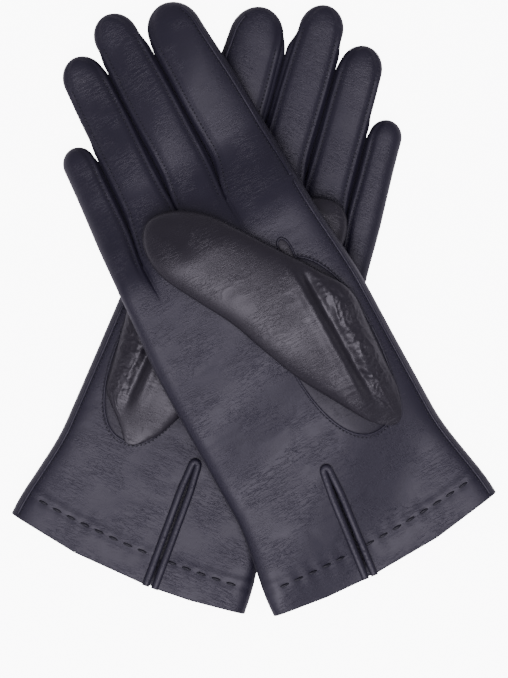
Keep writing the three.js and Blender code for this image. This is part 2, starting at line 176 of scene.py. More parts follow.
def grid_faces(rows, columns, start=0, flip=False):
    """Quads between neighbouring points of a rows x columns grid, numbered from start."""
    i, j = np.meshgrid(np.arange(rows - 1), np.arange(columns - 1), indexing="ij")
    a = (start + i * columns + j).ravel()
    quads = np.stack([a, a + 1, a + columns + 1, a + columns], 1)
    return quads[:, ::-1] if flip else quads


def welded(points, faces):
    """Points closer than a micrometre become one: each is named by its rounded place."""
    keys = np.round(points / 1e-6).astype(np.int64)
    _, first, inverse = np.unique(keys, axis=0, return_index=True, return_inverse=True)
    return first, inverse.ravel()[faces]


def normals_of(points, faces):
    """Each point's normal is the sum of its faces' diagonals' cross products, made one long."""
    cross = np.cross(points[faces[:, 2]] - points[faces[:, 0]], points[faces[:, 3]] - points[faces[:, 1]])
    total = np.zeros_like(points)
    for corner in range(4):
        np.add.at(total, faces[:, corner], cross)
    return total / np.maximum(np.linalg.norm(total, axis=1), 1e-12)[:, None]


def part_of(points, faces, normals, pattern, keep):
    """The kept faces with only the points they use."""
    used, inverse = np.unique(faces[keep], return_inverse=True)
    return points[used], inverse.reshape(-1, 4), normals[used], pattern[used]


def walled(points, faces, normals, pattern, wall):
    """A wall of leather: the skin, a copy set in by the wall along the normals, and a rim round open edges."""
    n = len(points)
    edges = np.concatenate([faces[:, [i, (i + 1) % 4]] for i in range(4)])
    edges = edges[edges[:, 0] != edges[:, 1]]
    keys = np.sort(edges, 1)
    _, inverse, count = np.unique(keys, axis=0, return_inverse=True, return_counts=True)
    rim = edges[count[inverse.ravel()] == 1]
    rim_faces = np.stack([rim[:, 1], rim[:, 0], rim[:, 0] + n, rim[:, 1] + n], 1)
    all_faces = np.concatenate([faces, faces[:, ::-1] + n, rim_faces])
    return (
        np.concatenate([points, points - normals * wall]),
        all_faces,
        np.concatenate([normals, -normals]),
        np.concatenate([pattern, pattern]),
    )


def put(name, points, faces, normals=None, pattern=None, material=None):
    """A mesh from whole arrays: a quad with two equal corners becomes a triangle, and the pattern a UV map."""
    mesh = bpy.data.meshes.new(name)
    equal = faces == np.roll(faces, -1, axis=1)
    repeats = equal.sum(1)
    quads = faces[repeats == 0]
    odd = faces[repeats == 1]
    keep = ~equal[repeats == 1]
    triangles = odd[keep].reshape(-1, 3)
    corners = np.concatenate([quads.ravel(), triangles.ravel()])
    sizes = np.concatenate([np.full(len(quads), 4), np.full(len(triangles), 3)])
    mesh.vertices.add(len(points))
    mesh.vertices.foreach_set("co", points.ravel().astype(np.float32))
    mesh.loops.add(len(corners))
    mesh.loops.foreach_set("vertex_index", corners.astype(np.int32))
    mesh.polygons.add(len(sizes))
    starts = np.concatenate([[0], np.cumsum(sizes)[:-1]])
    mesh.polygons.foreach_set("loop_start", starts.astype(np.int32))
    mesh.update(calc_edges=True)
    mesh.validate()
    if pattern is not None:
        uv = mesh.uv_layers.new(name="pattern")
        index = np.empty(len(mesh.loops), np.int32)
        mesh.loops.foreach_get("vertex_index", index)
        uv.data.foreach_set("uv", (pattern[index] * MM).ravel().astype(np.float32))
    mesh.polygons.foreach_set("use_smooth", np.ones(len(mesh.polygons), bool))
    if normals is not None:
        mesh.normals_split_custom_set_from_vertices([tuple(n) for n in normals.astype(float)])
    if material is not None:
        mesh.materials.append(material)
    piece = bpy.data.objects.new(name, mesh)
    bpy.context.scene.collection.objects.link(piece)
    return piece


# ---- Leather ----
# Navy nappa: aniline-dyed lambskin, drum-softened and lightly plated, so the eye gets a soft broad sheen, a
# grain too fine to see, and fine creases that run across the hand.
def linear(hex_colour):
    """sRGB hex to linear RGBA: v / 12.92 below 0.04045, ((v + 0.055) / 1.055) ^ 2.4 above."""
    s = np.array([int(hex_colour[i : i + 2], 16) / 255 for i in (1, 3, 5)])
    rgb = np.where(s <= 0.04045, s / 12.92, ((s + 0.055) / 1.055) ** 2.4)
    return (*rgb.tolist(), 1.0)


def node(tree, kind, inputs=(), **settings):
    """Adds one node: settings are its properties, and inputs pairs each socket with a value or an output."""
    made = tree.nodes.new(kind)
    for key, value in settings.items():
        setattr(made, key, value)
    for socket, value in dict(inputs).items():
        if isinstance(value, bpy.types.NodeSocket):
            tree.links.new(value, made.inputs[socket])
        else:
            made.inputs[socket].default_value = value
    return made


def new_material(name):
    """A material made of nodes, its tree and its shader."""
    material = bpy.data.materials.new(name)
    material.use_nodes = True
    return material, material.node_tree, material.node_tree.nodes["Principled BSDF"]


def two_tone(tree, shader, factor, dark, light):
    """The shader's colour goes from dark at factor 0 to light at factor 1."""
    ends = {"Factor": factor, 6: linear(dark), 7: linear(light)}
    colour = node(tree, "ShaderNodeMix", ends, data_type="RGBA")
    tree.links.new(colour.outputs[2], shader.inputs["Base Color"])


def leather_material(name, dark, light, roughness, crease, gloss_spread=0.06):
    """Nappa on the pattern's UV map: mottled dye, stretched noise for creases, small cells for the grain."""
    material, tree, shader = new_material(name)
    place = node(tree, "ShaderNodeUVMap", uv_map="pattern").outputs["UV"]

    def stretched(across_mm, along_mm, **settings):
        scale = (1 / (across_mm * MM), 1 / (along_mm * MM), 1)
        size = node(tree, "ShaderNodeMapping", {"Vector": place, "Scale": scale})
        inputs = {"Vector": size.outputs[0], "Scale": 1.0, **settings}
        return node(tree, "ShaderNodeTexNoise", inputs).outputs["Fac"]

    # Dye takes unevenly over 20 to 40 mm, and the plated top wears a little shinier in patches.
    mottle = stretched(34, 26, Detail=4.0, Roughness=0.6)
    fine = stretched(5, 2.2, Detail=6.0, Roughness=0.7)
    tone = node(tree, "ShaderNodeMath", {0: mottle, 1: fine, 2: 0.18}, operation="MULTIPLY_ADD")
    two_tone(tree, shader, tone.outputs[0], dark, light)
    rough = node(tree, "ShaderNodeMapRange", {"Value": mottle, "From Min": 0.3, "From Max": 0.7})
    rough.inputs["To Min"].default_value = roughness - gloss_spread / 2
    rough.inputs["To Max"].default_value = roughness + gloss_spread / 2
    tree.links.new(rough.outputs[0], shader.inputs["Roughness"])
    shader.inputs["IOR"].default_value = 1.5
    shader.inputs["Sheen Weight"].default_value = 0.03
    shader.inputs["Sheen Roughness"].default_value = 0.5
    # Creases: the valleys of a noise stretched across the hand, about 1 mm apart. Real ones are finer, and are
    # drawn this coarse so that they show.
    ridge = stretched(5.5, 1.0, Detail=3.0, Roughness=0.55, Distortion=0.7)
    folded = node(tree, "ShaderNodeMath", {0: ridge, 1: 0.5}, operation="SUBTRACT")
    folded = node(tree, "ShaderNodeMath", {0: folded.outputs[0]}, operation="ABSOLUTE")
    lines = node(tree, "ShaderNodeMapRange", {"Value": folded.outputs[0], "From Min": 0.0, "From Max": 0.05})
    patches = stretched(18, 14, Detail=2.0)
    where = node(tree, "ShaderNodeMapRange", {"Value": patches, "From Min": 0.38, "From Max": 0.58})
    creases = node(tree, "ShaderNodeMath", {0: lines.outputs[0], 1: where.outputs[0]}, operation="MULTIPLY")
    # Grain of the skin: cells of 0.7 mm stand in for pores of 0.2 mm.
    size = node(tree, "ShaderNodeMapping", {"Vector": place, "Scale": (1 / (0.7 * MM),) * 3})
    grain = node(tree, "ShaderNodeTexVoronoi", {"Vector": size.outputs[0], "Scale": 1.0}).outputs["Distance"]
    folds = {"Height": creases.outputs[0], "Strength": crease, "Distance": 0.15 * MM}
    pores = {"Height": grain, "Strength": 0.16, "Distance": 0.1 * MM}
    bump = node(tree, "ShaderNodeBump", folds)
    bump = node(tree, "ShaderNodeBump", {**pores, "Normal": bump.outputs[0]})
    tree.links.new(bump.outputs[0], shader.inputs["Normal"])
    return material


navy_nappa = leather_material("navy nappa, plated", "#13111e", "#1c1929", 0.48, 0.4)

# ---- Trank: the palm, the back of the hand and both faces of the fingers ----
# One piece of nappa, folded on the little finger's side and sewn up on the index side. Four columns run from
# the cuff to the fingertips. Along the palm they share their edges, and past the roots each is a finger.
LEATHER = 0.9
ROWS_PALM, ROWS_FINGER, ROWS_TIP, ACROSS = 136, 66, 14, 20
SLIT_HALF = 0.6
CROTCHES = [(-43.05, 146.0), (-29.4, 150.0), (-6.6, 163.0), (13.2, 157.5), (43.05, 152.0)]
CUFF_SHARES = [-1.0, -0.56, None, 0.42, 1.0]
SEAM_HALF = 2.4
GROOVE_INSET, GROOVE_WIDTH, GROOVE_DEPTH = 2.2, 0.7, 0.6
FINGER_SETTLE = 24
HEM_DEPTH = 10.0
STITCH_PITCH, STITCH_LENGTH = 6.4, 4.4


def half_width(v):
    """Half the glove's width at v: flared at the cuff, a little narrower at the finger roots."""
    wrist = mix(CUFF_WIDTH, PALM_WIDTH, smooth(v / CUFF_FLARE))
    return mix(wrist, ROOT_WIDTH, smooth((v - PALM_LENGTH + ROOT_TAPER) / ROOT_TAPER)) / 2


def cuff_edge(u):
    """The cuff edge bows out: lowest in the middle, higher at the sides."""
    return -3.0 + 5.0 * (u / CUFF_HALF) ** 2


def palm_line(glove, j, q):
    """Edge line j between the palm's columns at share q of its length. The third passes along the slit."""
    root_u, root_v = CROTCHES[j]
    slit_foot, slit_top = glove["slit"]
    foot_u = slit_foot[0] if j == 2 else CUFF_SHARES[j] * CUFF_HALF
    v = mix(cuff_edge(foot_u), root_v, q)
    if j in (0, 4):
        return np.stack([np.sign(foot_u) * half_width(v), v], -1)
    if j == 2:
        low = mix(slit_foot[0], slit_top[0], v / slit_top[1])
        high = mix(slit_top[0], root_u, smooth((v - slit_top[1]) / (root_v - slit_top[1])))
        return np.stack([np.where(v < slit_top[1], low, high), v], -1)
    return np.stack([mix(foot_u, root_u, smooth(q) * 0.6 + q * 0.4), v], -1)


def finger_stations(length, cap):
    """Distances along a finger, closer together round the tip, and how much of the section is left at each."""
    straight = np.linspace(0, length - cap, ROWS_FINGER + 1)[1:]
    angle = np.linspace(0, np.pi / 2, ROWS_TIP + 1)[1:]
    t = np.concatenate([straight, length - cap + cap * np.sin(angle)])
    keep = np.concatenate([np.ones(ROWS_FINGER), np.cos(angle)])
    keep[-1] = 0
    return t, keep


def column_edges(glove, name):
    """Left and right edge of one column, all rows from the cuff to the fingertip, with what each row needs."""
    spec = FINGERS[name]
    c = spec["column"]
    q = np.linspace(0, 1, ROWS_PALM + 1)
    left, right = palm_line(glove, c, q), palm_line(glove, c + 1, q)
    before = (1 - q) * 150
    root, direction, length = finger_line(glove, name)
    across = np.array([direction[1], -direction[0]])
    cap = spec["widths"][1] * 0.55
    t, keep = finger_stations(length, cap)
    half = mix(spec["widths"][0], spec["widths"][1], smooth(t / length)) / 2
    half = half * (1 + 0.02 * np.sin(t / 9 + c)) * keep
    centre = root + t[:, None] * direction
    settle = smooth(t / FINGER_SETTLE)[:, None]
    lefts = mix(np.array(CROTCHES[c]) + t[:, None] * direction, centre - half[:, None] * across, settle)
    rights = mix(np.array(CROTCHES[c + 1]) + t[:, None] * direction, centre + half[:, None] * across, settle)
    return dict(
        left=np.concatenate([left, lefts]),
        right=np.concatenate([right, rights]),
        before=np.concatenate([before, -t]),
        keep=np.concatenate([np.ones(len(q)), keep]),
        to_tip=np.concatenate([np.full(len(q), length), length - t]),
        cap=cap,
        slit_top=glove["slit"][1][1],
    )


def edge_height(rows, outer):
    """Height of a column's edge above the mid-plane: full in the palm, a valley towards the crotch, then the
    sewn edge of the side strip, which closes before the tip. An outer edge is a fold, at the mid-plane."""
    if outer:
        return np.zeros_like(rows["before"])
    valley = mix(SEAM_HALF, HALF_THICK, smooth(rows["before"] / 17))
    return valley * smooth((rows["to_tip"] - rows["cap"] * 0.5) / (rows["cap"] * 0.9))


def slit_half(v, top):
    """Half the slit's opening: nothing above its top, then quickly its full width."""
    return SLIT_HALF * smooth((top - v) / 12)


def column_surface(rows, c, back, inset=0.0, first=0, last=None):
    """The column's skin as a grid. Across it, s = -1 to 1, the height is edge + (top - edge) sqrt(1 - |s|^p)."""
    a = np.linspace(0, 1, ACROSS + 1)
    share = 0.5 * a + 0.25 * (1 - np.cos(np.pi * a))
    s = 2 * share - 1
    left, right = rows["left"].copy(), rows["right"].copy()
    if not back:
        # The slit: its two edges stand apart below its top.
        if c == 2:
            left[:, 0] += slit_half(left[:, 1], rows["slit_top"])
        if c == 1:
            right[:, 0] -= slit_half(right[:, 1], rows["slit_top"])
    if c == 0:
        left[:, 0] += inset
    if c == 3:
        right[:, 0] -= inset
    plan = left[:, None] + (right - left)[:, None] * share[None, :, None]
    top = (HALF_THICK * np.sqrt(rows["keep"]))[:, None]
    low_left = edge_height(rows, c == 0)[:, None]
    low_right = edge_height(rows, c == 3)[:, None]
    low = np.where(s < 0, low_left, low_right)
    low = np.minimum(low, top)
    finger = smooth(-rows["before"] / 14 + 0.5)[:, None]
    power = mix(3.6, 2.3, finger) if not back else mix(4.5, 3.4, finger)
    height = low + (top - low) * np.sqrt(np.maximum(0, 1 - np.abs(s) ** power))
    # A shallow groove just inside a finger's sewn edges takes the seam's stitches.
    width = np.linalg.norm(right - left, axis=1)[:, None]
    dip = np.exp(-(((share * width - GROOVE_INSET) / GROOVE_WIDTH) ** 2)) * (c > 0)
    dip = dip + np.exp(-((((1 - share) * width - GROOVE_INSET) / GROOVE_WIDTH) ** 2)) * (c < 3)
    height = height - GROOVE_DEPTH * dip * finger * rows["keep"][:, None]
    height = np.maximum(height - inset, 0) * (-1 if back else 1)
    out = np.concatenate([plan, (HALF_THICK + height)[..., None]], -1)
    return out[first:last]


def crumple(u, v, seed):
    """Soft waves of 22 and 9 mm and shallow folds across the hand: how empty leather lies, in millimetres."""
    waves = 0.2 * noise(u / 24, v / 20, seed) + 0.07 * noise(u / 10, v / 7, seed + 1)
    ridge = 1 - np.abs(noise(u / 17 + 0.5 * noise(u / 9, v / 9, seed + 2), v / 5.5, seed + 3))
    where = smooth(noise(u / 26, v / 22, seed + 4) * 1.6 + 0.3)
    return waves - 0.14 * ridge**7 * where


def hem_relief(u, v):
    """The doubled cuff stands 0.35 mm proud. It dips along the running stitch, deepest under each stitch."""
    from_edge = v - cuff_edge(u)
    doubled = 0.35 * (1 - smooth((from_edge - HEM_DEPTH - 2.6) / 2.0))
    across = v - hem_line(u)
    dip = 0.36 * np.exp(-((across / 1.1) ** 2)) * (0.72 - 0.28 * np.cos(2 * np.pi * u / STITCH_PITCH))
    pull = 0.09 * np.exp(-((across / 5) ** 2)) * np.cos(2 * np.pi * u / STITCH_PITCH)
    return doubled - dip + pull


def hem_line(u):
    """The stitches follow the cuff edge, a little straighter."""
    return HEM_DEPTH - 1.4 + 3.2 * (u / CUFF_HALF) ** 2


def build_trank(name, glove):
    """All columns, front and back, joined into one skin: its arrays, and each face's finger column, or -1."""
    points, pattern, faces, owner, backs = [], [], [], [], []
    count = 0
    columns = {}
    for finger, spec in FINGERS.items():
        rows = column_edges(glove, finger)
        columns[finger] = rows
        for back in (False, True):
            flat = column_surface(rows, spec["column"], back)
            n_rows, n_cols = flat.shape[:2]
            quads = grid_faces(n_rows, n_cols, count, flip=(back != (glove["side"] < 0)))
            face_row = np.repeat(np.arange(n_rows - 1), n_cols - 1)
            owner.append(np.where(face_row < ROWS_PALM, -1, spec["column"]))
            points.append(flat.reshape(-1, 3))
            backs.append(np.full(n_rows * n_cols, back))
            faces.append(quads)
            count += n_rows * n_cols
    flat = np.concatenate(points)
    back = np.concatenate(backs)
    world = lay(glove, flat[:, 0], flat[:, 1], flat[:, 2])
    first, quads = welded(world, np.concatenate(faces))
    flat, world, back = flat[first], world[first], back[first]
    normals = normals_of(world, quads)
    u, v = flat[:, 0], flat[:, 1]
    relief = crumple(u, v, glove["seed"] + 50 * back)
    # The back lies pressed on the table or the lower glove, and fingers lie smoother than the palm.
    relief = relief * np.where(back, 0.4, 1 - 0.55 * smooth((v - 140) / 24))
    relief = relief + hem_relief(u, v) * smooth((52 - v) / 20)
    fold = np.abs(flat[:, 2] - HALF_THICK) / HALF_THICK
    world = world + normals * (relief * (0.25 + 0.75 * smooth(fold * 1.5)) * MM)[:, None]
    world[:, 2] = np.maximum(world[:, 2], 0.0)
    normals = normals_of(world, quads)
    skin = dict(points=world, faces=quads, normals=normals, pattern=flat[:, :2])
    return dict(**skin, owner=np.concatenate(owner), rows=columns)


def follow_finger(piece):
    """Bakes the piece's place in the world into its mesh."""
    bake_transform(piece)


tranks = {}
for name, glove in GLOVES.items():
    trank = build_trank(name, glove)
    tranks[name] = trank
    arrays = [trank[key] for key in ("points", "faces", "normals", "pattern")]
    palm = put(f"{name}_trank", *walled(*part_of(*arrays, trank["owner"] < 0), LEATHER * MM), navy_nappa)
    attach(palm, f"{name}_glove")
    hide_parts(f"{name}_palm_and_back")
    for finger, spec in FINGERS.items():
        keep = trank["owner"] == spec["column"]
        skin = put(f"{name}_{finger}_faces", *walled(*part_of(*arrays, keep), LEATHER * MM), navy_nappa)
        follow_finger(skin)
        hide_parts(f"{name}_{finger}_finger")

# ---- Fourchettes ----
# The side walls of the fingers: narrow strips of the same nappa between the palm's and the back's half of each
# finger. They bulge into the gaps between the fingers, and are sewn to both halves with fine stitches.
SEAM_PITCH = 1.7
SEAM_STITCH = dict(pitch=SEAM_PITCH, length=1.3, width=0.52, lift=0.2, rings=4)
WALL_INSET, WALL_LEATHER, WIDEST_BULGE = 0.4, 0.7, 3.2


def outward(points, faces):
    """Faces turned so that the volume is positive: the sum of p0 . (p1 x p2 + p2 x p3), by sixths."""
    p = points[faces]
    volume = np.einsum("ij,ij->", p[:, 0], np.cross(p[:, 1], p[:, 2]) + np.cross(p[:, 2], p[:, 3]))
    return faces if volume > 0 else faces[:, ::-1]


def tube_faces(rings, sides):
    """Faces of a tube of rings, numbered ring by ring, closed by two end points that come last."""
    j = np.arange(sides)
    k = (j + 1) % sides
    i = np.arange(rings - 1)[:, None] * sides
    wall = np.stack([i + j, i + k, i + sides + k, i + sides + j], -1).reshape(-1, 4)
    end, last = np.full(sides, rings * sides), (rings - 1) * sides
    first_cap = np.stack([end, k, j, j], 1)
    last_cap = np.stack([end + 1, last + j, last + k, last + k], 1)
    return np.concatenate([wall, first_cap, last_cap])


def ellipse(width, height, base=0.0, sides=10):
    """Outline points across and up, in millimetres: (w/2 cos a, base + h/2 sin a)."""
    a = np.linspace(0, 2 * np.pi, sides, endpoint=False)
    return np.stack([width / 2 * np.cos(a), base + height / 2 * np.sin(a)], 1)


def frames(path, up):
    """Unit vectors across a path and up from it, square to its direction."""
    along = np.gradient(path, axis=0)
    across = np.cross(along, up)
    across /= np.linalg.norm(across, axis=1)[:, None]
    rise = np.cross(across, along)
    return across, rise / np.linalg.norm(rise, axis=1)[:, None]


def swept(path, up, outline):
    """An outline carried along a path, ends closed: each point is path + a across + b up."""
    across, rise = frames(path, up)
    shape = outline * MM
    rings = path[:, None] + shape[None, :, :1] * across[:, None] + shape[None, :, 1:] * rise[:, None]
    points = np.concatenate([rings.reshape(-1, 3), rings[:1].mean(1), rings[-1:].mean(1)])
    run = np.concatenate([[0], np.cumsum(np.linalg.norm(np.diff(path, axis=0), axis=1))]) / MM
    pattern = np.stack(np.broadcast_arrays(np.arange(len(shape)) * 0.7, run[:, None]), -1).reshape(-1, 2)
    pattern = np.concatenate([pattern, pattern[:1], pattern[-1:]])
    return points, outward(points, tube_faces(len(path), len(shape))), pattern


def thread_run(path, up, pitch, length, width, lift, rings=5, sides=6):
    """Stitches along a path: each is a rod that rises by lift (1 - x^2) out of one hole and into the next."""
    across, rise = frames(path, up)
    run = np.concatenate([[0], np.cumsum(np.linalg.norm(np.diff(path, axis=0), axis=1))]) / MM
    x = np.linspace(-1, 1, rings)
    where = np.arange(pitch / 2, run[-1] - length / 2, pitch)[:, None] + x * length / 2

    def at(values):
        return np.stack([np.interp(where, run, values[:, axis]) for axis in range(3)], -1)

    rise, across = at(rise), at(across)
    centre = at(path) + rise * ((lift * (1 - x**2) - 0.25 * width) * MM)[:, None]
    angle = np.linspace(0, 2 * np.pi, sides, endpoint=False)[:, None]
    thick = (width / 2 * np.sqrt(1.06 - x**2) * MM)[:, None, None]
    ring = centre[:, :, None] + thick * (across[:, :, None] * np.cos(angle) + rise[:, :, None] * np.sin(angle))
    count = rings * sides + 2
    points = np.concatenate([ring.reshape(len(where), -1, 3), centre[:, [0, -1]]], 1).reshape(-1, 3)
    faces = tube_faces(rings, sides) + (np.arange(len(where)) * count)[:, None, None]
    faces = outward(points, faces.reshape(-1, 4))
    return points, faces, np.zeros((len(points), 2))


def joined(bodies):
    """Several (points, faces, pattern) as one."""
    points, faces, patterns = zip(*bodies)
    counts = np.cumsum([0] + [len(p) for p in points])
    faces = [f + start for f, start in zip(faces, counts)]
    return np.concatenate(points), np.concatenate(faces), np.concatenate(patterns)


def put_bodies(name, bodies, material):
    """Closed bodies as one piece."""
    points, faces, pattern = joined(bodies)
    return put(name, points, faces, normals_of(points, faces), pattern, material)


def on_skin(name, glove, u, v):
    """The leather over each pattern point and the way it faces: a ray dropped onto it. Past the leather's edge
    the nearest point's height is kept."""
    x, y = on_table(glove, u, v)
    x, y = (x + SHIFT[0]) * MM, (y + SHIFT[1]) * MM
    hits = [skins[name].ray_cast(Vector((a, b, 0.1)), Vector((0, 0, -1))) for a, b in zip(x, y)]
    good = np.array([i for i, hit in enumerate(hits) if hit[0] is not None])
    pick = good[np.abs(good[None] - np.arange(len(hits))[:, None]).argmin(1)]
    height = np.array([hits[i][0].z for i in pick])
    return np.stack([x, y, height], -1), np.array([tuple(hits[i][1]) for i in pick])


def eased(values, reach):
    """A running mean over the neighbours, ends kept, so that a seam doesn't copy every wrinkle."""
    index = np.clip(np.arange(len(values))[:, None] + np.arange(-reach, reach + 1), 0, len(values) - 1)
    return values[index].mean(1)


def seam_thread():
    """Dark polyester thread: two near-black navies mixed by a fine noise, which also roughens it."""
    material, tree, shader = new_material("navy thread")
    place = node(tree, "ShaderNodeTexCoord").outputs["Object"]
    fibre = node(tree, "ShaderNodeTexNoise", {"Vector": place, "Scale": 2500.0, "Detail": 2.0}).outputs["Fac"]
    two_tone(tree, shader, fibre, "#08080f", "#14141f")
    shader.inputs["Roughness"].default_value = 0.55
    bump = node(tree, "ShaderNodeBump", {"Height": fibre, "Strength": 0.3, "Distance": 0.1 * MM})
    tree.links.new(bump.outputs[0], shader.inputs["Normal"])
    return material


def side_rows(rows, side):
    """The rows where a finger's side stands open: the edge, its half height, and the way into the finger."""
    edge, other = (rows["left"], rows["right"]) if side < 0 else (rows["right"], rows["left"])
    half = edge_height(rows, False)
    use = (rows["before"] <= 0) & (half > 0.12)
    way = (other - edge)[use]
    return edge[use], half[use], way / np.linalg.norm(way, axis=1)[:, None]


def gap_beside(all_rows, column, side, edge):
    """Half the open space beside a finger's edge at its own v, and none near the neighbour's tip."""
    beside = next(rows for finger, rows in all_rows.items() if FINGERS[finger]["column"] == column + side)
    facing = (beside["right"] if side < 0 else beside["left"])[ROWS_PALM:-ROWS_TIP]
    space = side * (np.interp(edge[:, 1], facing[:, 1], facing[:, 0]) - edge[:, 0]) / 2 + 0.02
    return np.clip(space, 0, WIDEST_BULGE) * (1 - smooth((edge[:, 1] - facing[-1, 1]) / 8))


thread = seam_thread()
skins = {}
for name, glove in GLOVES.items():
    trank = tranks[name]
    corners = [tuple(dict.fromkeys(face)) for face in trank["faces"].tolist()]
    skins[name] = BVHTree.FromPolygons([tuple(p) for p in trank["points"].tolist()], corners)
    for finger, spec in FINGERS.items():
        for side, side_name in ((-1, "little_side"), (1, "thumb_side")):
            if (side < 0 and spec["column"] == 0) or (side > 0 and spec["column"] == 3):
                continue
            edge, half, way = side_rows(trank["rows"][finger], side)
            room = gap_beside(trank["rows"], spec["column"], side, edge)
            h = np.linspace(-1, 1, 11)
            bulge = (1 - h**2) ** 0.6 * np.minimum(half / SEAM_HALF, 1)[:, None]
            inset = WALL_INSET - (WALL_INSET + room[:, None]) * bulge
            plan = edge[:, None] + way[:, None] * inset[..., None]
            height = HALF_THICK + 0.98 * half[:, None] * h
            points = lay(glove, plan[..., 0], plan[..., 1], height)
            faces = grid_faces(len(edge), len(h))
            inwards = lay(glove, *(edge + way).T, HALF_THICK) - lay(glove, *edge.T, HALF_THICK)
            flat = points.reshape(-1, 3)
            normals = normals_of(flat, faces)
            if np.einsum("ij,ij->", normals.reshape(points.shape)[:, 5], inwards) > 0:
                faces, normals = faces[:, ::-1], -normals
            pattern = np.stack([height, plan[..., 1]], -1).reshape(-1, 2)
            strip = walled(flat, faces, normals, pattern, WALL_LEATHER * MM)
            wall = put(f"{name}_{finger}_wall_{side_name}", *strip, navy_nappa)
            follow_finger(wall)
            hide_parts(f"{name}_{finger}_fourchette_{side_name}")
            # Stitches sit in the groove just inside the edge, on the face of the finger.
            inner = (edge + GROOVE_INSET * way)[2:-4]
            path, up = on_skin(name, glove, inner[:, 0], inner[:, 1])
            stitches = thread_run(eased(path, 1), eased(up, 2), **SEAM_STITCH)
            seam = put_bodies(f"{name}_{finger}_stitches_{side_name}", [stitches], thread)
            follow_finger(seam)

# ---- Side seams ----
# The trank's two long edges, sewn edge to edge up the index side: a narrow raised ridge with a stitched groove
# beside it, from the cuff round to the index fingertip.
RIDGE_INSET, STITCHES_INSET = 2.3, 3.4
for name, glove in GLOVES.items():
    rows = tranks[name]["rows"]["index"]
    way = rows["left"] - rows["right"]
    length = np.maximum(np.linalg.norm(way, axis=1), 1e-6)
    way /= length[:, None]
    use = rows["to_tip"] > 0.35 * rows["cap"]
    on_palm = np.arange(len(way)) <= ROWS_PALM
    for piece_name, keep in ((f"{name}_index_seam", use & ~on_palm), (f"{name}_hand_seam", on_palm)):
        ridge_line = (rows["right"] + RIDGE_INSET * way)[keep]
        groove_line = (rows["right"] + STITCHES_INSET * way)[keep]
        path, up = on_skin(name, glove, *ridge_line.T)
        low, low_up = on_skin(name, glove, *groove_line.T)
        rolled = swept(eased(path, 2), eased(up, 3), ellipse(1.5, 1.0, 0.12))
        ridge = put_bodies(piece_name, [rolled], navy_nappa)
        run = thread_run(eased(low, 1), eased(low_up, 2), **SEAM_STITCH)
        stitches = put_bodies(piece_name + "_stitches", [run], thread)
        for piece, slot in ((ridge, "navy_leather"), (stitches, "thread")):
            if keep is on_palm:
                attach(piece, f"{name}_glove")
            else:
                follow_finger(piece)
    # The ridge made last, the hand's, stands for the CAD's seam.
    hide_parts(f"{name}_side_seam")

# ---- Turned hem, lining and hem stitches ----
# The cuff edge is turned in over 12 mm and held by one row of long running stitches on the palm's face. Inside
# it starts a thin silk lining. Each is the trank's own rows, set in by an inset.
HEM = dict(inset=1.8, first=0, last=12, wall=0.8)
SILK = dict(inset=2.2, first=9, last=48, wall=0.3)
ROLL_INSET, ROLL_WIDTH = 0.6, 1.7
RUNNING_STITCH = dict(pitch=STITCH_PITCH, length=STITCH_LENGTH, width=1.05, lift=0.6, rings=9, sides=8)


def inner_tube(name, glove, inset, first, last, wall):
    """The trank's own rows set in by inset, facing the hollow, with a wall behind them."""
    points, faces, count = [], [], 0
    for finger, spec in FINGERS.items():
        for back in (False, True):
            flat = column_surface(tranks[name]["rows"][finger], spec["column"], back, inset, first, last)
            faces.append(grid_faces(*flat.shape[:2], count, flip=(back == (glove["side"] < 0))))
            points.append(flat.reshape(-1, 3))
            count += len(points[-1])
    flat = np.concatenate(points)
    placed = lay(glove, flat[:, 0], flat[:, 1], flat[:, 2])
    first_of, quads = welded(placed, np.concatenate(faces))
    placed, flat = placed[first_of], flat[first_of]
    return walled(placed, quads, normals_of(placed, quads), flat[:, :2], wall * MM)


def silk_material():
    """Fine twill silk: diagonal lines 0.5 mm apart, standing in for threads of 0.1 mm, over a soft sheen."""
    material, tree, shader = new_material("navy silk twill")
    place = node(tree, "ShaderNodeUVMap", uv_map="pattern").outputs["UV"]
    twill = {"Vector": place, "Scale": 300.0, "Distortion": 0.4}
    lines = node(tree, "ShaderNodeTexWave", twill, bands_direction="DIAGONAL")
    two_tone(tree, shader, lines.outputs["Fac"], "#17171f", "#262633")
    shader.inputs["Roughness"].default_value = 0.4
    shader.inputs["Sheen Weight"].default_value = 0.2
    threads = {"Height": lines.outputs["Fac"], "Strength": 0.2, "Distance": 0.1 * MM}
    bump = node(tree, "ShaderNodeBump", threads)
    tree.links.new(bump.outputs[0], shader.inputs["Normal"])
    return material


